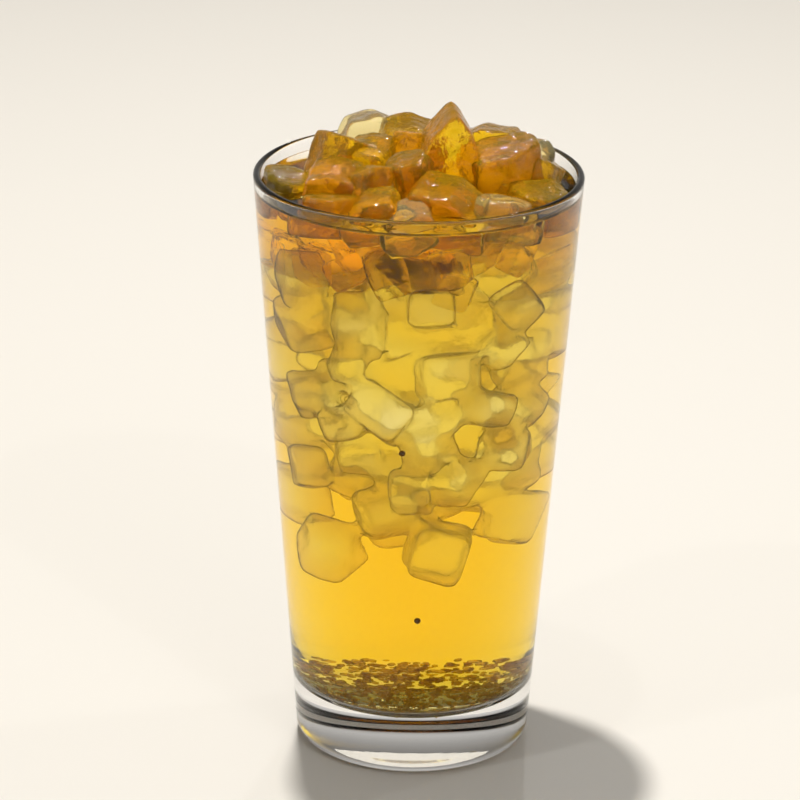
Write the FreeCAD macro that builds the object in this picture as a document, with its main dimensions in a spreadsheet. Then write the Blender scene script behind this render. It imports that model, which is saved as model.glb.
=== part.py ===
"""Glass of lemon tea: a tall conical tumbler filled with tea, heaped with lemon jelly and ice.

Millimetres, +Z up, origin at the middle of the foot on the plane it stands on.
"""
import FreeCAD, Part
import math
import os

import Sketcher

Vector = FreeCAD.Vector
Rotation = FreeCAD.Rotation

PARTS_FOLDER = "parts"

# Driving dimensions: alias, value in millimetres, meaning
DIMENSIONS = [
    ("glass_height", 150.5, "table to lip"),
    ("rim_radius", 41.0, "outside of the wall at the lip"),
    ("foot_radius", 29.5, "outside of the wall carried down to the table"),
    ("lip_wall", 1.85, "wall at the lip"),
    ("base_wall", 2.7, "wall just above the floor"),
    ("floor_height", 14.5, "table to the inside floor"),
    ("heel_round", 4.0, "outer edge of the foot"),
    ("corner_round", 8.0, "inside corner between floor and wall"),
    ("punt_radius", 21.0, "hollow under the base"),
    ("punt_depth", 1.6, "hollow under the base"),
    ("tea_below_lip", 4.5, "lip down to the tea"),
    ("jelly_size", 15.0, "middling piece of jelly"),
    ("jelly_round", 0.8, "edges of the jelly"),
    ("ice_size", 16.0, "middling piece of ice"),
    ("ice_round", 1.3, "melted edges of the ice"),
    ("wall_gap", 0.3, "heap to the inside of the glass"),
]

# The inside of the glass, shared by the tumbler, the tea and the heap
LEVEL = "(dims.glass_height - dims.tea_below_lip)"
FLOOR_RADIUS = (
    "(dims.foot_radius - dims.base_wall"
    " + (dims.rim_radius - dims.foot_radius) * dims.floor_height / dims.glass_height)"
)
INSIDE_SLOPE = (
    f"((dims.rim_radius - dims.lip_wall - {FLOOR_RADIUS})"
    " / (dims.glass_height - dims.floor_height))"
)
LEVEL_RADIUS = f"({FLOOR_RADIUS} + {INSIDE_SLOPE} * ({LEVEL} - dims.floor_height))"

# Pieces of the heap: name, place across and away as shares of the inside radius at the tea,
# middle above the tea as a share of a middling piece, length, width and height as such shares,
# then yaw, pitch and roll in degrees. A later row is cut to the rows before it.
PEAK = ("jelly_01_peak", 0.18, 0.05, 0.28, (1.20, 0.76, 2.40), (8, 4, 6))
JELLY = [
    ("jelly_02_shoulder", 0.55, 0.10, 0.12, (1.25, 0.90, 1.15), (12, -8, 10)),
    ("jelly_03_crest", 0.46, 0.36, 0.30, (1.05, 0.90, 0.95), (-10, 6, -8)),
    ("jelly_04_slope", 0.72, 0.22, 0.06, (0.85, 0.95, 0.70), (15, 28, -6)),
    ("jelly_05_back", -0.08, 0.52, 0.22, (1.05, 0.90, 1.00), (6, -10, 12)),
    ("jelly_06_middle", 0.00, 0.24, 0.32, (0.75, 0.75, 0.85), (38, 14, -10)),
    ("jelly_07_inner_left", -0.31, 0.23, 0.18, (0.90, 0.85, 0.90), (-22, 8, 12)),
    ("jelly_08_wedge", -0.50, 0.20, 0.13, (1.00, 0.90, 1.10), (28, 24, -8)),
    ("jelly_09_left", -0.54, -0.08, 0.08, (0.95, 0.80, 0.75), (-14, -12, 14)),
    ("jelly_10_edge_left", -0.84, 0.06, -0.08, (0.75, 0.95, 0.50), (10, 8, 4)),
    ("jelly_11_inner_front", -0.29, -0.17, 0.12, (0.85, 0.70, 0.75), (30, 12, -14)),
    ("jelly_12_centre", -0.04, -0.10, 0.22, (0.75, 0.70, 0.80), (-32, -10, 16)),
    ("jelly_13_front", 0.17, -0.36, -0.02, (1.25, 0.90, 0.75), (-16, 6, 14)),
    ("jelly_14_front_left", -0.53, -0.38, -0.12, (0.90, 0.80, 0.55), (34, 6, -8)),
    ("jelly_15_low_front", -0.27, -0.48, -0.04, (0.80, 0.70, 0.60), (-8, -10, 10)),
    ("jelly_16_edge_right", 0.76, -0.14, -0.14, (0.90, 0.85, 0.55), (20, 6, 8)),
]
ICE = [
    ("ice_01_back_left", -0.32, 0.66, 0.24, (1.00, 0.85, 0.90), (14, -10, -8)),
    ("ice_02_back_right", 0.69, 0.50, -0.02, (0.85, 0.80, 0.75), (-24, 8, 12)),
    ("ice_03_front", -0.07, -0.58, -0.12, (0.75, 0.70, 0.55), (12, -6, 8)),
    ("ice_04_front_right", 0.51, -0.42, -0.11, (0.85, 0.70, 0.55), (-18, 6, -10)),
]

# A broken piece is what a block shares with a slightly larger one, turned about one axis and
# moved off the middle: yaw, pitch and roll in degrees, and the move as shares of a piece
BREAKS = [
    ((0, 32, 0), (0.05, 0.00, -0.03)),
    ((35, 0, 0), (-0.04, 0.05, 0.00)),
    ((0, -30, 0), (0.00, 0.00, 0.00)),
    ((28, 0, 0), (0.00, 0.06, 0.00)),
]
BREAK_SHARE = 1.04
# An edge that rises at least this far out of the tea is rounded, in millimetres
ROUNDED_FROM = 2.0
# The peak is a slab between two round cuts that meet in its tip
PEAK_CUT_RADIUS = 1.45
PEAK_CUT_OFFSET = 0.95


def bind(thing, property_name, expression):
    thing.setExpression(property_name, expression)


def add_dimensions(doc):
    sheet = doc.addObject("Spreadsheet::Sheet", "dims")
    for row, (alias, value, meaning) in enumerate(DIMENSIONS, start=1):
        sheet.set(f"A{row}", alias)
        sheet.set(f"B{row}", str(value))
        sheet.set(f"C{row}", meaning)
        sheet.setAlias(f"B{row}", alias)
    doc.recompute()
    return sheet


def tea_level(doc):
    return float(doc.dims.glass_height) - float(doc.dims.tea_below_lip)


def origin_item(body, role):
    return next(item for item in body.Origin.OriginFeatures if item.Role == role)


def add_sketch(body, name):
    sketch = body.newObject("Sketcher::SketchObject", name)
    sketch.AttachmentSupport = [(origin_item(body, "XZ_Plane"), "")]
    sketch.MapMode = "FlatFace"
    return sketch


def pin_point(sketch, name, geometry, point, across, up):
    """Fix a point of the sketch at two expressions; a zero keeps it on that axis."""
    for axis, kind, expression in (("x", "DistanceX", across), ("z", "DistanceY", up)):
        if expression == "0":
            line = -2 if axis == "x" else -1
            sketch.addConstraint(Sketcher.Constraint("PointOnObject", geometry, point, line))
            continue
        here = sketch.getPoint(geometry, point)
        value = here.x if axis == "x" else here.y
        index = sketch.addConstraint(
            Sketcher.Constraint(kind, -1, 1, geometry, point, value)
        )
        sketch.renameConstraint(index, f"{name}_{axis}")
        bind(sketch, f"Constraints.{name}_{axis}", expression)


def edges_at(shape, height, radius_from, radius_to):
    """Names of the circular edges at a height whose radius lies in a range."""
    names = []
    for number, edge in enumerate(shape.Edges, start=1):
        box = edge.BoundBox
        flat = abs(box.ZMax - height) < 0.01 and abs(box.ZMin - height) < 0.01
        if flat and radius_from < box.XMax < radius_to:
            names.append(f"Edge{number}")
    return names


def add_round(body, base, name, edge_names, radius):
    fillet = body.newObject("PartDesign::Fillet", name)
    fillet.Base = (base, edge_names)
    bind(fillet, "Radius", radius)
    body.Document.recompute()
    return fillet


def add_tumbler(doc, sheet):
    """Blown tumbler: straight conical wall, thick base, rounded heel, round lip, shallow punt."""
    body = doc.addObject("PartDesign::Body", "tumbler")
    profile = add_sketch(body, "wall_profile")
    corners = [
        ("middle_under", "0", "0"),
        ("foot", "dims.foot_radius", "0"),
        ("lip_outside", "dims.rim_radius", "dims.glass_height"),
        ("lip_inside", "dims.rim_radius - dims.lip_wall", "dims.glass_height"),
        ("floor_edge", FLOOR_RADIUS, "dims.floor_height"),
        ("floor_middle", "0", "dims.floor_height"),
    ]
    rough = [(0, 0), (30, 0), (41, 150), (39, 150), (28, 15), (0, 15)]
    count = len(corners)
    for side in range(count):
        start = Vector(*rough[side], 0)
        end = Vector(*rough[(side + 1) % count], 0)
        profile.addGeometry(Part.LineSegment(start, end), False)
    for side in range(count):
        profile.addConstraint(Sketcher.Constraint("Coincident", side, 2, (side + 1) % count, 1))
    for side, (name, across, up) in enumerate(corners):
        pin_point(profile, name, side, 1, across, up)
    wall = body.newObject("PartDesign::Revolution", "wall")
    wall.Profile = profile
    wall.ReferenceAxis = (profile, ["V_Axis"])
    wall.Angle = 360
    doc.recompute()

    height = float(sheet.glass_height)
    middle_of_lip = float(sheet.rim_radius) - float(sheet.lip_wall) / 2
    floor = float(sheet.floor_height)
    foot = float(sheet.foot_radius)
    heel_edge = edges_at(wall.Shape, 0, 0.9 * foot, 1.1 * foot)
    heel = add_round(body, wall, "heel", heel_edge, "dims.heel_round")
    corner_edge = edges_at(heel.Shape, floor, 1, foot + height)
    corner = add_round(body, heel, "inside_corner", corner_edge, "dims.corner_round")
    lip_edges = edges_at(corner.Shape, height, 0.9 * middle_of_lip, 1.1 * middle_of_lip)
    lip = add_round(body, corner, "lip", lip_edges, "dims.lip_wall * 0.49")

    punt_profile = add_sketch(body, "punt_profile")
    reach = float(sheet.punt_radius)
    depth = float(sheet.punt_depth)
    ball = (reach * reach + depth * depth) / (2 * depth)
    swing = math.asin(reach / ball)
    arc = Part.ArcOfCircle(
        Part.Circle(Vector(0, depth - ball, 0), Vector(0, 0, 1), ball),
        math.pi / 2 - swing,
        math.pi / 2,
    )
    punt_profile.addGeometry(arc, False)
    punt_profile.addGeometry(Part.LineSegment(Vector(0, depth, 0), Vector(0, 0, 0)), False)
    punt_profile.addGeometry(Part.LineSegment(Vector(0, 0, 0), Vector(reach, 0, 0)), False)
    punt_profile.addConstraint(Sketcher.Constraint("Coincident", 0, 2, 1, 1))
    punt_profile.addConstraint(Sketcher.Constraint("Coincident", 1, 2, 2, 1))
    punt_profile.addConstraint(Sketcher.Constraint("Coincident", 2, 2, 0, 1))
    punt_profile.addConstraint(Sketcher.Constraint("PointOnObject", 0, 3, -2))
    pin_point(punt_profile, "punt_top", 1, 1, "0", "dims.punt_depth")
    pin_point(punt_profile, "punt_middle", 2, 1, "0", "0")
    pin_point(punt_profile, "punt_edge", 2, 2, "dims.punt_radius", "0")
    before = lip.Shape.Volume
    punt = body.newObject("PartDesign::Groove", "punt")
    punt.Profile = punt_profile
    punt.ReferenceAxis = (punt_profile, ["V_Axis"])
    punt.Angle = 360
    body.Tip = punt
    doc.recompute()
    if punt.Shape.Volume >= before:
        raise RuntimeError("the punt cuts nothing")
    body.Label = "tumbler"
    return body


def add_fill(doc):
    """The inside of the glass up to the tea, before the heap is taken out of it."""
    cone = doc.addObject("Part::Cone", "fill_cone")
    bind(cone, "Radius1", FLOOR_RADIUS)
    bind(cone, "Radius2", LEVEL_RADIUS)
    bind(cone, "Height", f"{LEVEL} - dims.floor_height")
    bind(cone, "Placement.Base.z", "dims.floor_height")
    doc.recompute()
    fill = doc.addObject("Part::Fillet", "fill")
    fill.Base = cone
    floor = cone.Placement.Base.z
    edge_name = edges_at(cone.Shape, floor, 1, cone.Radius2.Value)[0]
    radius = float(doc.dims.corner_round)
    fill.Edges = [(int(edge_name[len("Edge"):]), radius, radius)]
    doc.recompute()
    return fill


def add_heap_room(doc):
    """The cone that the heap keeps within: the inside of the glass, less a gap, carried up."""
    room = doc.addObject("Part::Cone", "heap_room")
    depth = "3 * dims.jelly_size"
    bind(room, "Height", f"2 * {depth}")
    bind(room, "Radius1", f"{LEVEL_RADIUS} - {INSIDE_SLOPE} * {depth} - dims.wall_gap")
    bind(room, "Radius2", f"{LEVEL_RADIUS} + {INSIDE_SLOPE} * {depth} - dims.wall_gap")
    bind(room, "Placement.Base.z", f"{LEVEL} - {depth}")
    doc.recompute()
    return room


def add_block(doc, name, unit, shares, grow):
    block = doc.addObject("Part::Box", name)
    sides = ("Length", "Width", "Height")
    for side, axis, share in zip(sides, "xyz", shares):
        bind(block, side, f"{unit} * {share} * {grow}")
        bind(block, f"Placement.Base.{axis}", f"-{side} / 2")
    return block


def add_lump(doc, name, unit, shares, turn, shift):
    """A block broken off askew."""
    block = add_block(doc, f"{name}_block", unit, shares, 1)
    breaker = add_block(doc, f"{name}_breaker", unit, shares, BREAK_SHARE)
    turned = doc.addObject("Part::Compound", f"{name}_turned")
    turned.Links = [breaker]
    turned.Placement = FreeCAD.Placement(Vector(), Rotation(*turn))
    for axis, share in zip("xyz", shift):
        bind(turned, f"Placement.Base.{axis}", f"{unit} * {share}")
    lump = doc.addObject("Part::Common", f"{name}_lump")
    lump.Base = block
    lump.Tool = turned
    return lump


def add_tear(doc, name, unit, shares):
    """A tall slab whose two round sides meet in a tip."""
    shape = add_block(doc, f"{name}_block", unit, shares, 1)
    for side, offset in (("left", PEAK_CUT_OFFSET), ("right", -PEAK_CUT_OFFSET)):
        scoop = doc.addObject("Part::Cylinder", f"{name}_{side}")
        bind(scoop, "Radius", f"{unit} * {PEAK_CUT_RADIUS}")
        bind(scoop, "Height", f"{unit} * {shares[1]} * 1.5")
        scoop.Placement = FreeCAD.Placement(Vector(), Rotation(Vector(1, 0, 0), 90))
        bind(scoop, "Placement.Base.x", f"{unit} * {offset}")
        bind(scoop, "Placement.Base.y", "Height / 2")
        common = doc.addObject("Part::Common", f"{name}_cut_{side}")
        common.Base = shape
        common.Tool = scoop
        shape = common
    return shape


def add_piece(doc, row, unit, rounding, shape, room, placed):
    """Set a piece in the heap, round it above the tea and cut it to the pieces it leans on."""
    name, across, away, up, _, turn = row
    shape.Placement = FreeCAD.Placement(Vector(), Rotation(*turn))
    bind(shape, "Placement.Base.x", f"{LEVEL_RADIUS} * {across}")
    bind(shape, "Placement.Base.y", f"{LEVEL_RADIUS} * {away}")
    bind(shape, "Placement.Base.z", f"{LEVEL} + {unit} * {up}")
    doc.recompute()
    rounded = doc.addObject("Part::Fillet", f"{name}_rounded")
    rounded.Base = shape
    radius = float(getattr(doc.dims, rounding))
    rounded.Edges = [
        (number, radius, radius)
        for number, edge in enumerate(shape.Shape.Edges, start=1)
        if edge.BoundBox.ZMax > tea_level(doc) + ROUNDED_FROM
    ]
    inside = doc.addObject("Part::Common", f"{name}_inside")
    inside.Base = rounded
    inside.Tool = room
    doc.recompute()
    piece = inside
    for other in placed:
        if not other.Shape.BoundBox.intersect(piece.Shape.BoundBox):
            continue
        cut = doc.addObject("Part::Cut", f"{name}_by_{other.Label}")
        cut.Base = piece
        cut.Tool = other
        doc.recompute()
        piece = cut
    piece.Label = name
    return piece


def add_heap(doc, room):
    """The peak first, then the jelly round it and the ice at the edge."""
    jelly_unit = "dims.jelly_size"
    tear = add_tear(doc, PEAK[0], jelly_unit, PEAK[4])
    placed = [add_piece(doc, PEAK, jelly_unit, "jelly_round", tear, room, [])]
    kinds = [(JELLY, jelly_unit, "jelly_round"), (ICE, "dims.ice_size", "ice_round")]
    for rows, unit, rounding in kinds:
        for row in rows:
            turn, shift = BREAKS[len(placed) % len(BREAKS)]
            lump = add_lump(doc, row[0], unit, row[4], turn, shift)
            placed.append(add_piece(doc, row, unit, rounding, lump, room, placed))
    return placed


def add_tea(doc, fill, heap):
    """Tea up to its level, open where the heap's pieces stand in it."""
    pieces = doc.addObject("Part::Compound", "heap_pieces")
    pieces.Links = heap
    tea = doc.addObject("Part::Cut", "tea")
    tea.Base = fill
    tea.Tool = pieces
    doc.recompute()
    if tea.Shape.Volume >= fill.Shape.Volume:
        raise RuntimeError("the heap takes nothing out of the tea")
    tea.Label = "tea"
    return tea


def check(doc, nodes):
    for thing in doc.Objects:
        if "Invalid" in thing.State or "Error" in thing.State:
            raise RuntimeError(f"{thing.Name} did not build: {thing.State}")
    for node in nodes:
        if node.Shape.isNull() or not node.Shape.isValid():
            raise RuntimeError(f"{node.Label} has no valid shape")


def main():
    doc = FreeCAD.newDocument("lemon_tea")
    sheet = add_dimensions(doc)
    tumbler = add_tumbler(doc, sheet)
    fill = add_fill(doc)
    heap = add_heap(doc, add_heap_room(doc))
    tea = add_tea(doc, fill, heap)
    nodes = [tumbler, tea] + heap
    doc.recompute()
    check(doc, nodes)
    os.makedirs(PARTS_FOLDER, exist_ok=True)
    for node in nodes:
        node.Shape.exportStep(os.path.join(PARTS_FOLDER, f"{node.Label}.step"))
        print(f"{node.Label}: {len(node.Shape.Solids)} solid, {node.Shape.Volume:.0f} mm3")


main()
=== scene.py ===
"""Looks of the glass of lemon tea: clear tumbler, tea, lemon jelly, ice and lemon pulp."""

import math
import random

import bmesh
import bpy
from mathutils import Matrix, Vector, noise


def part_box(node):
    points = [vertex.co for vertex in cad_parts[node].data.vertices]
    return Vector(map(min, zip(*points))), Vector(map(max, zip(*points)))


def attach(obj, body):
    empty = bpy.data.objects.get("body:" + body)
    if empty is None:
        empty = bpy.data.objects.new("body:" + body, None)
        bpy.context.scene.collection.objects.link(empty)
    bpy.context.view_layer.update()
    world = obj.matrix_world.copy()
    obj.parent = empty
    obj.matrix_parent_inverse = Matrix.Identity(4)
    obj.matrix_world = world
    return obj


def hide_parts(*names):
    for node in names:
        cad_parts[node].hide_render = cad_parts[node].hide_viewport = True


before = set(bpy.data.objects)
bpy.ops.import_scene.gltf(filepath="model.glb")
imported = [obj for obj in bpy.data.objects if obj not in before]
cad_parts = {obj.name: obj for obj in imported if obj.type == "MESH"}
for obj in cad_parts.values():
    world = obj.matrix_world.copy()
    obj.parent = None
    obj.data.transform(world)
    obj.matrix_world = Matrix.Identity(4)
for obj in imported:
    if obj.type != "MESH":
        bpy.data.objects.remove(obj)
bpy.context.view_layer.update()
MM = 0.001

# ---------------------------------------------------------------- sizes, in metres
GLASS_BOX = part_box("tumbler")
LIP_HEIGHT = GLASS_BOX[1].z
TEA_DROP = 4.5 * MM
TEA_LEVEL = LIP_HEIGHT - TEA_DROP
LIP_WALL = 1.85 * MM
BASE_WALL = 2.7 * MM
# Just under half the wall, so that the lip is nearly a full round
LIP_ROUND = 0.49 * LIP_WALL
RIM_RADIUS = 41.0 * MM
FOOT_RADIUS = 29.5 * MM
FLOOR_HEIGHT = 14.5 * MM
HEEL_ROUND = 4.0 * MM
CORNER_ROUND = 8.0 * MM
PUNT_RADIUS = 21.0 * MM
PUNT_DEPTH = 1.6 * MM
# Steps of each round stretch of a profile, and of a full turn
PUNT_STEPS = 12
HEEL_STEPS = 10
LIP_STEPS = 8
CORNER_STEPS = 12
MENISCUS_STEPS = 8
SPIN_STEPS = 144
# Close rings beside each corner of a profile, the longest stretch without a ring, and the
# turn between two faces from which their edge is drawn sharp
SUPPORT = 0.4 * MM
LONGEST_RUN = 12.0 * MM
SHARP_ANGLE = math.radians(32)
# Points nearer than this are one
SPUN_MERGE = 0.001 * MM
NODE_MERGE = 0.002 * MM
# How far what fills the glass reaches into its wall, and each lump into its neighbours
WALL_OVERLAP = 0.15 * MM
LUMP_OVERLAP = 0.12 * MM
MENISCUS_RISE = 1.3 * MM
MENISCUS_REACH = 3.2 * MM
MENISCUS_POWER = 3


def outside_radius(height):
    """Radius of the outside of the wall at a height."""
    return FOOT_RADIUS + (RIM_RADIUS - FOOT_RADIUS) * height / LIP_HEIGHT


def inside_radius(height):
    """Radius of the inside of the wall at a height."""
    low = outside_radius(FLOOR_HEIGHT) - BASE_WALL
    high = RIM_RADIUS - LIP_WALL
    return low + (high - low) * (height - FLOOR_HEIGHT) / (LIP_HEIGHT - FLOOR_HEIGHT)


# ---------------------------------------------------------------- shader groups
SKIN_SOCKETS = ("Wave Size", "Wave Height", "Ripple Size", "Ripple Share")
WAVE_DETAIL = 1.0
RIPPLE_DETAIL = 2.0
WAVE_UNIT = 1.0 * MM


def new_group(name, inputs, outputs):
    """An empty shader group with named sockets: (name, kind, value) in, (name, kind) out."""
    group = bpy.data.node_groups.new(name, "ShaderNodeTree")
    for label, kind, value in inputs:
        socket = group.interface.new_socket(label, in_out="INPUT", socket_type=kind)
        socket.default_value = value
    for label, kind in outputs:
        group.interface.new_socket(label, in_out="OUTPUT", socket_type=kind)
    start = group.nodes.new("NodeGroupInput")
    end = group.nodes.new("NodeGroupOutput")
    return group, start, end


def wavy_surface_group():
    """Soft waves and fine ripples of a poured, set or melted surface, as a normal."""
    group, start, end = new_group(
        "wavy_surface",
        [
            ("Wave Size", "NodeSocketFloat", 60.0),
            ("Wave Height", "NodeSocketFloat", 0.1),
            ("Ripple Size", "NodeSocketFloat", 400.0),
            ("Ripple Share", "NodeSocketFloat", 0.2),
        ],
        [("Normal", "NodeSocketVector")],
    )
    place = group.nodes.new("ShaderNodeTexCoord")
    waves = group.nodes.new("ShaderNodeTexNoise")
    waves.inputs["Detail"].default_value = WAVE_DETAIL
    ripples = group.nodes.new("ShaderNodeTexNoise")
    ripples.inputs["Detail"].default_value = RIPPLE_DETAIL
    both = group.nodes.new("ShaderNodeMath")
    both.operation = "MULTIPLY_ADD"
    bump = group.nodes.new("ShaderNodeBump")
    bump.inputs["Distance"].default_value = WAVE_UNIT
    link = group.links.new
    link(place.outputs["Object"], waves.inputs["Vector"])
    link(place.outputs["Object"], ripples.inputs["Vector"])
    link(start.outputs["Wave Size"], waves.inputs["Scale"])
    link(start.outputs["Ripple Size"], ripples.inputs["Scale"])
    link(ripples.outputs["Fac"], both.inputs[0])
    link(start.outputs["Ripple Share"], both.inputs[1])
    link(waves.outputs["Fac"], both.inputs[2])
    link(both.outputs["Value"], bump.inputs["Height"])
    link(start.outputs["Wave Height"], bump.inputs["Strength"])
    link(bump.outputs["Normal"], end.inputs["Normal"])
    return group


WAVY_SURFACE = wavy_surface_group()


# ---------------------------------------------------------------- materials
WHITE = (1.0, 1.0, 1.0)
# What light takes on over a depth of tea or jelly
TEA_TINT = (0.994, 0.893, 0.0)
JELLY_TINT = (0.992, 0.900, 0.0)
# Colours of the stuff itself
JELLY_BODY = (1.0, 0.68, 0.03)
ICE_BODY = (1.0, 0.93, 0.75)
GOLDEN_ICE = (1.0, 0.86, 0.42)
PULP_BODY = (1.0, 0.80, 0.30)
SUNK_BODY = (1.0, 0.92, 0.50)
SPECK_BODY = (0.22, 0.10, 0.02)
# Uneven skins: wave size, wave height, ripple size, ripple share
LUMPY = (260.0, 0.7, 700.0, 0.7)
MELTED = (160.0, 0.4, 600.0, 0.3)


def clear_material(
    name, ior, mirror, roughness=0.0, skin=(), clearness=1.0, body=WHITE, tint=WHITE, density=0.0,
):
    """Clear or cloudy stuff, with an uneven skin and a depth of colour where they are given.

    mirror scales its reflections. body colours the cloudy share and what passes the skin. tint
    and density colour what is seen through a depth of it.
    """
    material = bpy.data.materials.new(name)
    material.use_nodes = True
    nodes = material.node_tree.nodes
    link = material.node_tree.links.new
    shader = nodes["Principled BSDF"]
    shader.inputs["Base Color"].default_value = (*body, 1.0)
    shader.inputs["Roughness"].default_value = roughness
    shader.inputs["IOR"].default_value = ior
    shader.inputs["Specular Tint"].default_value = (mirror, mirror, mirror, 1.0)
    shader.inputs["Transmission Weight"].default_value = clearness
    if skin:
        waves = nodes.new("ShaderNodeGroup")
        waves.node_tree = WAVY_SURFACE
        for label, value in zip(SKIN_SOCKETS, skin):
            waves.inputs[label].default_value = value
        link(waves.outputs["Normal"], shader.inputs["Normal"])
    if density:
        depth = nodes.new("ShaderNodeVolumeAbsorption")
        depth.inputs["Color"].default_value = (*tint, 1.0)
        depth.inputs["Density"].default_value = density
        link(depth.outputs["Volume"], nodes["Material Output"].inputs["Volume"])
    return material


GLASS = clear_material("tumbler_glass", ior=1.5, mirror=0.18)
TEA = clear_material("lemon_tea", ior=1.333, mirror=0.4, tint=TEA_TINT, density=84.0)
JELLY = clear_material(
    "lemon_jelly", ior=1.36, mirror=0.8, roughness=0.07, skin=LUMPY,
    clearness=0.86, body=JELLY_BODY, tint=JELLY_TINT, density=55.0,
)
ICE = clear_material(
    "wet_ice", ior=1.31, mirror=0.5, roughness=0.12, skin=MELTED,
    clearness=0.86, body=GOLDEN_ICE,
)
# In the tea: turned down indices keep the edges of jelly and pulp faint
SUNK_ICE = clear_material(
    "sunk_ice", ior=1.31, mirror=1.0, roughness=0.20, skin=MELTED,
    clearness=0.95, body=ICE_BODY,
)
SUNK_JELLY = clear_material(
    "sunk_jelly", ior=1.02, mirror=0.5, roughness=0.05, skin=LUMPY, body=SUNK_BODY,
)
PULP = clear_material(
    "lemon_pulp", ior=1.20, mirror=1.0, roughness=0.2, skin=MELTED,
    clearness=0.8, body=PULP_BODY,
)
SPECK = clear_material(
    "lemon_speck", ior=1.4, mirror=0.5, roughness=0.5, skin=MELTED,
    clearness=0.0, body=SPECK_BODY,
)


# ---------------------------------------------------------------- mesh helpers
def finish_piece(name, bm, material, nodes=()):
    """Turn a bmesh into a named piece that rides on the glass and stands for CAD nodes."""
    mesh = bpy.data.meshes.new(name)
    for face in bm.faces:
        face.smooth = True
    for edge in bm.edges:
        edge.smooth = edge.calc_face_angle(0.0) < SHARP_ANGLE
    bm.to_mesh(mesh)
    bm.free()
    piece = bpy.data.objects.new(name, mesh)
    bpy.context.scene.collection.objects.link(piece)
    mesh.materials.append(material)
    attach(piece, "root")
    if nodes:
        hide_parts(*nodes)


def corner_points(before, corner, after, radius, steps):
    """The points of a round corner between two straight stretches of a profile."""
    back = (before - corner).normalized()
    on = (after - corner).normalized()
    half = math.acos(max(-1.0, min(1.0, back.dot(on)))) / 2
    centre = corner + (back + on).normalized() * radius / math.sin(half)
    start = corner + back * radius / math.tan(half) - centre
    swing = math.pi - 2 * half
    side = 1 if back.x * on.y - back.y * on.x < 0 else -1
    points = []
    for step in range(steps + 1):
        turn = Matrix.Rotation(side * swing * step / steps, 2)
        points.append(centre + turn @ start)
    return points


def profile_points(corners):
    """A profile of (radius, height, rounding, steps) corners, its roundings worked out."""
    points = []
    last = len(corners) - 1
    for index, (across, up, rounding, steps) in enumerate(corners):
        here = Vector((across, up))
        if rounding == 0 or index in (0, last):
            points.append(here)
            continue
        before = Vector(corners[index - 1][:2])
        after = Vector(corners[index + 1][:2])
        points += corner_points(before, here, after, rounding, steps)
    return points


def with_support(points):
    """The profile with close points beside each end of a long straight stretch, and more between."""
    filled = [points[0]]
    for start, end in zip(points, points[1:]):
        run = end - start
        # Shorter stretches have no room for both close points
        if run.length > 4 * SUPPORT:
            stations = [SUPPORT, run.length - SUPPORT]
            count = int(run.length / LONGEST_RUN)
            stations += [run.length * step / (count + 1) for step in range(1, count + 1)]
            filled += [start + run * (place / run.length) for place in sorted(stations)]
        filled.append(end)
    return filled


def spun(points):
    """A closed solid spun from a profile that starts and ends on the axis."""
    bm = bmesh.new()
    rim = [bm.verts.new((point.x, 0.0, point.y)) for point in with_support(points)]
    chain = [bm.edges.new(pair) for pair in zip(rim, rim[1:])]
    bmesh.ops.spin(
        bm, geom=rim + chain, cent=(0, 0, 0), axis=(0, 0, 1), dvec=(0, 0, 0),
        angle=2 * math.pi, steps=SPIN_STEPS, use_merge=True, use_duplicate=False,
    )
    bmesh.ops.remove_doubles(bm, verts=bm.verts, dist=SPUN_MERGE)
    bmesh.ops.recalc_face_normals(bm, faces=bm.faces)
    return bm


def merged_node(name):
    """A joined-up copy of a CAD node's mesh."""
    bm = bmesh.new()
    bm.from_mesh(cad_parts[name].data)
    bmesh.ops.remove_doubles(bm, verts=bm.verts, dist=NODE_MERGE)
    return bm


def with_modifiers(bm, settings):
    """The bmesh after a few modifiers, each given as (kind, {setting: value})."""
    mesh = bpy.data.meshes.new("work")
    bm.to_mesh(mesh)
    bm.free()
    work = bpy.data.objects.new("work", mesh)
    bpy.context.scene.collection.objects.link(work)
    for kind, values in settings:
        modifier = work.modifiers.new(kind.lower(), kind)
        for key, value in values.items():
            setattr(modifier, key, value)
    bpy.context.view_layer.update()
    depsgraph = bpy.context.evaluated_depsgraph_get()
    made = bpy.data.meshes.new_from_object(work.evaluated_get(depsgraph))
    out = bmesh.new()
    out.from_mesh(made)
    bpy.data.objects.remove(work)
    bpy.data.meshes.remove(mesh)
    bpy.data.meshes.remove(made)
    return out


def push_out(bm, amount, wobble=0.0, wobble_size=1.0, seed=0.0):
    """Move the skin outwards, with soft lumps of a given height and size."""
    shift = Vector((seed, seed * 0.7, -seed))
    bm.normal_update()
    moves = []
    for vert in bm.verts:
        spot = vert.co / wobble_size + shift
        moves.append(vert.normal * (amount + wobble * noise.noise(spot)))
    for vert, move in zip(bm.verts, moves):
        vert.co += move


def add_to(target, bm):
    """Add one bmesh to another, and free it."""
    mesh = bpy.data.meshes.new("lump")
    bm.to_mesh(mesh)
    bm.free()
    target.from_mesh(mesh)
    bpy.data.meshes.remove(mesh)


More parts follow.
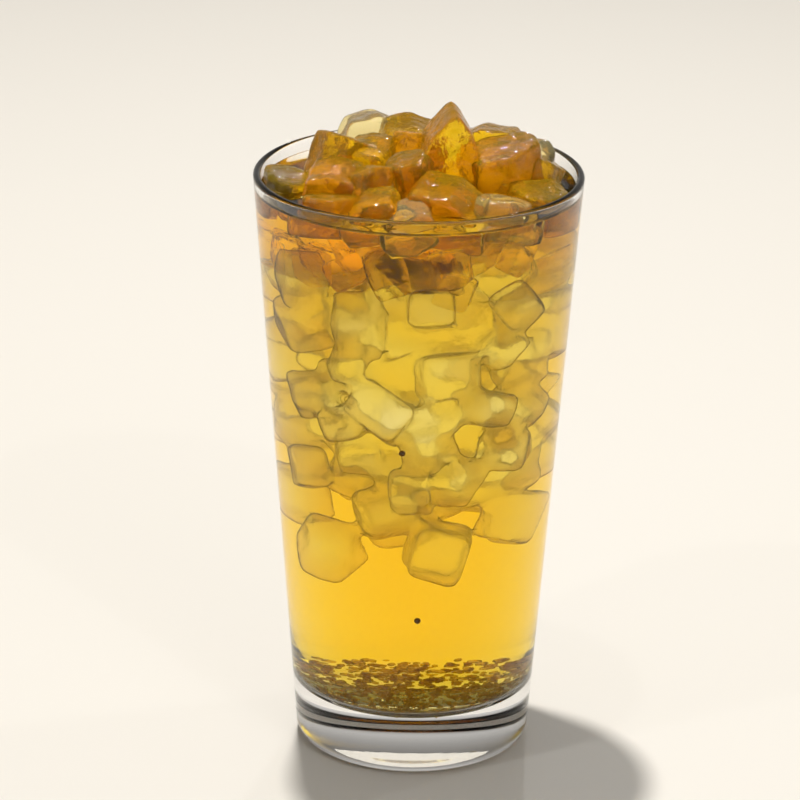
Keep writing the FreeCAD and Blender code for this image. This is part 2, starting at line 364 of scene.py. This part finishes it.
# ---------------------------------------------------------------- the tumbler
def make_tumbler():
    """The clear glass: punt, heel, lip and inside corner in one spun profile."""
    inner_low = inside_radius(FLOOR_HEIGHT)
    ball = (PUNT_RADIUS ** 2 + PUNT_DEPTH ** 2) / (2 * PUNT_DEPTH)
    punt = []
    for step in range(PUNT_STEPS + 1):
        across = PUNT_RADIUS * step / PUNT_STEPS
        rise = PUNT_DEPTH - ball + math.sqrt(ball ** 2 - across ** 2)
        punt.append((across, rise, 0, 0))
    corners = punt + [
        (FOOT_RADIUS, 0, HEEL_ROUND, HEEL_STEPS),
        (RIM_RADIUS, LIP_HEIGHT, LIP_ROUND, LIP_STEPS),
        (RIM_RADIUS - LIP_WALL, LIP_HEIGHT, LIP_ROUND, LIP_STEPS),
        (inner_low, FLOOR_HEIGHT, CORNER_ROUND, CORNER_STEPS),
        (0, FLOOR_HEIGHT, 0, 0),
    ]
    bm = spun(profile_points(corners))
    finish_piece("clear_tumbler", bm, GLASS, ["tumbler"])


# ---------------------------------------------------------------- what is sunk in the tea
# Lumps of ice that show by themselves: across, away, height above the foot and width, in mm
LOW_ICE = [
    (-18, -9, 56, 12.5), (5, -12, 57, 15.0), (18, 2, 62, 12.0), (-3, 13, 60, 12.0),
    (-22, 4, 66, 11.0),
]
# The rest lies at random between two heights, with widths between two, in mm
ICE_SEED = 7
ICE_FROM = 68 * MM
ICE_TO = 130 * MM
ICE_WIDTHS = (9.0, 16.5)
ICE_TRIES = 420
JELLY_SEED = 11
JELLY_FROM = 128 * MM
JELLY_TO = 137 * MM
JELLY_WIDTHS = (8.0, 12.0)
JELLY_TRIES = 120
# Room kept to the wall: a share of the width and a gap. Two lumps lie at least a share of
# their widths apart.
WALL_SHARE = 0.78
WALL_GAP = 0.5 * MM
APART_SHARE = 0.42
# Sides of a lump, and the rounding and unevenness of ice and of jelly, as shares of its width
SIDE_SHARES = (0.75, 1.12)
ICE_ROUND = 0.14
ICE_WOBBLE = 0.08
JELLY_ROUND = 0.12
JELLY_WOBBLE = 0.05
ROUND_STEPS = 2
DENT_SHARE = 0.6
SEED_RANGE = 50
# The ice in the middle of the glass is frozen into one core, narrower at its foot
CORE_RADIUS = 17 * MM
CORE_TAPER = 0.8
CORE_FROM = 74 * MM
CORE_TO = 126 * MM
CORE_SIDES = 48
# Melting: the grain the lumps are merged at, and how often they are smoothed
MELT_GRAIN = 0.9 * MM
MELT_PASSES = 5
SMOOTHING = 0.5


def lump_mesh(size, rounding, place, turn, seed, wobble):
    """One worn block: a cube with soft edges and uneven faces."""
    bm = bmesh.new()
    bmesh.ops.create_cube(bm, size=1.0)
    bmesh.ops.scale(bm, vec=size, verts=bm.verts)
    bmesh.ops.bevel(
        bm, geom=bm.edges[:], offset=rounding, segments=ROUND_STEPS, profile=0.5,
        affect="EDGES", material=-1,
    )
    bmesh.ops.subdivide_edges(bm, edges=bm.edges[:], cuts=1, use_grid_fill=True)
    push_out(bm, 0.0, wobble, min(size) * DENT_SHARE, seed)
    bmesh.ops.rotate(bm, verts=bm.verts, cent=(0, 0, 0), matrix=turn)
    bmesh.ops.translate(bm, verts=bm.verts, vec=place)
    return bm


def random_turn(chance):
    """A turn about all three axes."""
    angles = [chance.uniform(-math.pi, math.pi) for _ in range(3)]
    return (
        Matrix.Rotation(angles[0], 3, "X")
        @ Matrix.Rotation(angles[1], 3, "Y")
        @ Matrix.Rotation(angles[2], 3, "Z")
    )


def scattered(chance, low, high, widths, tries, taken):
    """Places for lumps between two heights, none too near those taken already."""
    for _ in range(tries):
        size = chance.uniform(*widths) * MM
        up = chance.uniform(low, high)
        room = inside_radius(up) - WALL_SHARE * size - WALL_GAP
        reach = room * math.sqrt(chance.random())
        angle = chance.uniform(0, 2 * math.pi)
        place = Vector((reach * math.sin(angle), -reach * math.cos(angle), up))
        if all((place - other).length > APART_SHARE * (size + width) for other, width in taken):
            taken.append((place, size))
    return taken


def sunk_lumps(places, chance, rounding, wobble):
    """Worn, uneven blocks at the given places, as one mesh."""
    everything = bmesh.new()
    for place, width in places:
        size = Vector([width * chance.uniform(*SIDE_SHARES) for _ in range(3)])
        turn = random_turn(chance)
        seed = chance.uniform(0, SEED_RANGE)
        lump = lump_mesh(size, rounding * width, place, turn, seed, wobble * width)
        add_to(everything, lump)
    return everything


def sunk_ice(grow):
    """The sunk ice, worn and frozen together where the lumps touch."""
    chance = random.Random(ICE_SEED)
    places = [(Vector((x, y, z)) * MM, width * MM) for x, y, z, width in LOW_ICE]
    places = scattered(chance, ICE_FROM, ICE_TO, ICE_WIDTHS, ICE_TRIES, places)
    lumps = sunk_lumps(places, chance, ICE_ROUND, ICE_WOBBLE)
    core = bmesh.new()
    bmesh.ops.create_cone(
        core, cap_ends=True, segments=CORE_SIDES, radius1=CORE_TAPER * CORE_RADIUS,
        radius2=CORE_RADIUS, depth=CORE_TO - CORE_FROM,
    )
    bmesh.ops.translate(core, verts=core.verts, vec=(0, 0, (CORE_FROM + CORE_TO) / 2))
    add_to(lumps, core)
    bm = with_modifiers(lumps, [
        ("REMESH", {"mode": "VOXEL", "voxel_size": MELT_GRAIN}),
        ("SMOOTH", {"factor": SMOOTHING, "iterations": MELT_PASSES}),
    ])
    push_out(bm, grow)
    return bm


def sunk_jelly():
    """Broken jelly that hangs in the tea just under the heap."""
    chance = random.Random(JELLY_SEED)
    places = scattered(chance, JELLY_FROM, JELLY_TO, JELLY_WIDTHS, JELLY_TRIES, [])
    return sunk_lumps(places, chance, JELLY_ROUND, JELLY_WOBBLE)


# ---------------------------------------------------------------- the tea
HEAP_NODES = sorted(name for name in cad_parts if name.startswith(("jelly", "ice")))


def make_tea():
    """Tea that wets the wall, its surface drawn up at the edge, cut round the heap and the ice."""
    wall_low = inside_radius(FLOOR_HEIGHT) + WALL_OVERLAP
    top = TEA_LEVEL + MENISCUS_RISE
    corners = [
        (0, FLOOR_HEIGHT - WALL_OVERLAP, 0, 0),
        (wall_low, FLOOR_HEIGHT - WALL_OVERLAP, CORNER_ROUND, CORNER_STEPS),
        (inside_radius(top) + WALL_OVERLAP, top, 0, 0),
    ]
    points = profile_points(corners)
    for step in range(1, MENISCUS_STEPS + 1):
        share = step / MENISCUS_STEPS
        across = inside_radius(TEA_LEVEL) - MENISCUS_REACH * share
        rise = MENISCUS_RISE * (1 - share) ** MENISCUS_POWER
        points.append(Vector((across, TEA_LEVEL + rise)))
    points.append(Vector((0, TEA_LEVEL)))
    bm = spun(points)
    lumps = bmesh.new()
    for name in HEAP_NODES:
        add_to(lumps, merged_node(name))
    add_to(lumps, sunk_ice(0.0))
    mesh = bpy.data.meshes.new("lumps")
    lumps.to_mesh(mesh)
    lumps.free()
    cutter = bpy.data.objects.new("lumps", mesh)
    bpy.context.scene.collection.objects.link(cutter)
    bm = with_modifiers(bm, [
        ("BOOLEAN", {"operation": "DIFFERENCE", "object": cutter, "solver": "MANIFOLD"}),
    ])
    bpy.data.objects.remove(cutter)
    bpy.data.meshes.remove(mesh)
    finish_piece("lemon_tea", bm, TEA, ["tea"])


# ---------------------------------------------------------------- the heap
HEAP_GRAIN = 0.55 * MM
HEAP_GROWTH = LUMP_OVERLAP + 0.1 * MM
HEAP_DENT = 5 * MM
HEAP_SEED_STEP = 3.1
# How often each kind is smoothed, and how uneven its faces are
JELLY_PASSES = 5
JELLY_UNEVEN = 0.5 * MM
ICE_PASSES = 9
ICE_UNEVEN = 0.7 * MM


def make_heap():
    """Each lump of jelly or ice in the heap, its edges softened and its faces uneven."""
    for index, name in enumerate(HEAP_NODES):
        jelly = name.startswith("jelly")
        passes = JELLY_PASSES if jelly else ICE_PASSES
        bm = with_modifiers(merged_node(name), [
            ("REMESH", {"mode": "VOXEL", "voxel_size": HEAP_GRAIN}),
            ("SMOOTH", {"factor": SMOOTHING, "iterations": passes}),
        ])
        uneven = JELLY_UNEVEN if jelly else ICE_UNEVEN
        push_out(bm, HEAP_GROWTH, uneven, HEAP_DENT, index * HEAP_SEED_STEP)
        material = JELLY if jelly else ICE
        finish_piece(f"{name}_wet", bm, material, [name])


# ---------------------------------------------------------------- pulp and specks
PULP_SEED = 5
PULP_GRAINS = 1000
PULP_DEPTH = 1.8 * MM
GRAIN_SIZES = (0.25, 0.7)
GRAIN_LONG = 1.8
GRAIN_FLAT = 0.8
# Two dark specks by the front wall: across, away and height above the foot, in mm
SPECKS = [(1.0, -25.0, 42.0), (-3.0, -28.5, 88.0)]
SPECK_SIZE = 0.8 * MM


def make_pulp():
    """Torn lemon cells lying on the floor of the glass."""
    chance = random.Random(PULP_SEED)
    everything = bmesh.new()
    for _ in range(PULP_GRAINS):
        reach = (inside_radius(FLOOR_HEIGHT) - CORNER_ROUND * 0.5) * math.sqrt(chance.random())
        angle = chance.uniform(0, 2 * math.pi)
        size = chance.uniform(*GRAIN_SIZES) * MM
        grain = bmesh.new()
        bmesh.ops.create_icosphere(grain, subdivisions=1, radius=1.0)
        bmesh.ops.scale(grain, vec=(size * GRAIN_LONG, size, size * GRAIN_FLAT), verts=grain.verts)
        turn = Matrix.Rotation(chance.uniform(0, math.pi), 3, "Z")
        bmesh.ops.rotate(grain, verts=grain.verts, cent=(0, 0, 0), matrix=turn)
        up = FLOOR_HEIGHT + size + chance.uniform(0.0, PULP_DEPTH)
        place = (reach * math.cos(angle), reach * math.sin(angle), up)
        bmesh.ops.translate(grain, verts=grain.verts, vec=place)
        add_to(everything, grain)
    finish_piece("lemon_pulp", everything, PULP)


def make_specks():
    """Dark specks of lemon in the tea."""
    everything = bmesh.new()
    for place in SPECKS:
        speck = bmesh.new()
        bmesh.ops.create_icosphere(speck, subdivisions=2, radius=SPECK_SIZE)
        bmesh.ops.translate(speck, verts=speck.verts, vec=Vector(place) * MM)
        add_to(everything, speck)
    finish_piece("lemon_specks", everything, SPECK)


make_tumbler()
make_tea()
make_heap()
finish_piece("sunk_ice", sunk_ice(LUMP_OVERLAP), SUNK_ICE)
finish_piece("sunk_jelly", sunk_jelly(), SUNK_JELLY)
make_pulp()
make_specks()


# ---------------------------------------------------------------- table, light and camera
TABLE_HALF = 6.0
TABLE_COLOUR = (0.82, 0.79, 0.73)
TABLE_ROUGHNESS = 0.5
# The room's light from the horizon up, and how high the second tone is reached
ROOM_LOW = (0.62, 0.60, 0.57)
ROOM_HIGH = (0.17, 0.16, 0.145)
ROOM_HIGH_AT = 0.7
# Lamps: name, place, aim, size, power and colour
LAMPS = [
    ("ceiling_lamp", (-0.145, 0.29, 1.6), (0, 0, 0.05), 0.08, 21.5, (1.0, 0.97, 0.93)),
    ("wide_fill", (0.7, -1.2, 0.8), (0, 0, 0.08), 1.0, 2.5, (1.0, 0.98, 0.95)),
]
# Small lamps that give the wet jelly its glints
SMALL_PLACES = [
    (-0.5, -0.4, 0.9), (0.35, -0.7, 0.8), (0.6, 0.3, 0.9), (-0.1, -0.2, 1.2), (0.1, 0.7, 0.6),
]
SMALL_AIM = (0, 0, 0.14)
SMALL_SIZE = 0.02
SMALL_POWER = 0.5
SENSOR_WIDTH = 36.0
LENS_LENGTH = 190.98
NEAR_LIMIT = 0.05
CAMERA_PLACE = Vector((0.0, -1.0, 0.463))
CAMERA_AIM = Vector((-0.0040, 0.0, 0.0903))
CAMERA_ROLL = math.radians(0.67)


def make_table():
    """A plain pale floor to stand on."""
    bm = bmesh.new()
    bmesh.ops.create_grid(bm, x_segments=2, y_segments=2, size=TABLE_HALF)
    mesh = bpy.data.meshes.new("table")
    bm.to_mesh(mesh)
    bm.free()
    table = bpy.data.objects.new("table", mesh)
    bpy.context.scene.collection.objects.link(table)
    material = bpy.data.materials.new("pale_table")
    material.use_nodes = True
    shader = material.node_tree.nodes["Principled BSDF"]
    shader.inputs["Base Color"].default_value = (*TABLE_COLOUR, 1.0)
    shader.inputs["Roughness"].default_value = TABLE_ROUGHNESS
    mesh.materials.append(material)


def add_lamp(name, place, aim, size, power, tint):
    """A round lamp that shines from its place towards its aim."""
    lamp = bpy.data.lights.new(name, "AREA")
    lamp.shape = "DISK"
    lamp.size = size
    lamp.energy = power
    lamp.color = tint
    holder = bpy.data.objects.new(name, lamp)
    bpy.context.scene.collection.objects.link(holder)
    holder.location = place
    holder.rotation_euler = (Vector(aim) - Vector(place)).to_track_quat("-Z", "Y").to_euler()


def light_room():
    """A room that is paler low down, one high lamp, a wide fill and small lamps."""
    world = bpy.data.worlds.new("studio")
    bpy.context.scene.world = world
    world.use_nodes = True
    nodes = world.node_tree.nodes
    link = world.node_tree.links.new
    place = nodes.new("ShaderNodeTexCoord")
    parts = nodes.new("ShaderNodeSeparateXYZ")
    ramp = nodes.new("ShaderNodeValToRGB")
    ramp.color_ramp.elements[0].position = 0.0
    ramp.color_ramp.elements[0].color = (*ROOM_LOW, 1.0)
    ramp.color_ramp.elements[1].position = ROOM_HIGH_AT
    ramp.color_ramp.elements[1].color = (*ROOM_HIGH, 1.0)
    link(place.outputs["Generated"], parts.inputs["Vector"])
    link(parts.outputs["Z"], ramp.inputs["Fac"])
    link(ramp.outputs["Color"], nodes["Background"].inputs["Color"])
    nodes["Background"].inputs["Strength"].default_value = 1.0
    for lamp in LAMPS:
        add_lamp(*lamp)
    for number, spot in enumerate(SMALL_PLACES, start=1):
        add_lamp(f"small_lamp_{number}", spot, SMALL_AIM, SMALL_SIZE, SMALL_POWER, WHITE)


def place_camera():
    """The view from a seat at the table, a long way off through a long lens."""
    lens = bpy.data.cameras.new("view")
    lens.sensor_width = SENSOR_WIDTH
    lens.lens = LENS_LENGTH
    lens.clip_start = NEAR_LIMIT
    camera = bpy.data.objects.new("view", lens)
    bpy.context.scene.collection.objects.link(camera)
    ahead = (CAMERA_AIM - CAMERA_PLACE).normalized()
    turn = ahead.to_track_quat("-Z", "Y").to_matrix().to_4x4()
    roll = Matrix.Rotation(CAMERA_ROLL, 4, "Z")
    camera.matrix_world = Matrix.Translation(CAMERA_PLACE) @ turn @ roll
    bpy.context.scene.camera = camera


def set_rendering():
    """Enough bounces for light to pass the glass, the tea and many lumps."""
    scene = bpy.context.scene
    scene.view_settings.view_transform = "Standard"
    scene.cycles.use_denoising = True
    scene.cycles.max_bounces = 28
    scene.cycles.transmission_bounces = 26
    scene.cycles.glossy_bounces = 3
    scene.cycles.diffuse_bounces = 2
    scene.cycles.sample_clamp_indirect = 6.0


make_table()
light_room()
place_camera()
set_rendering()
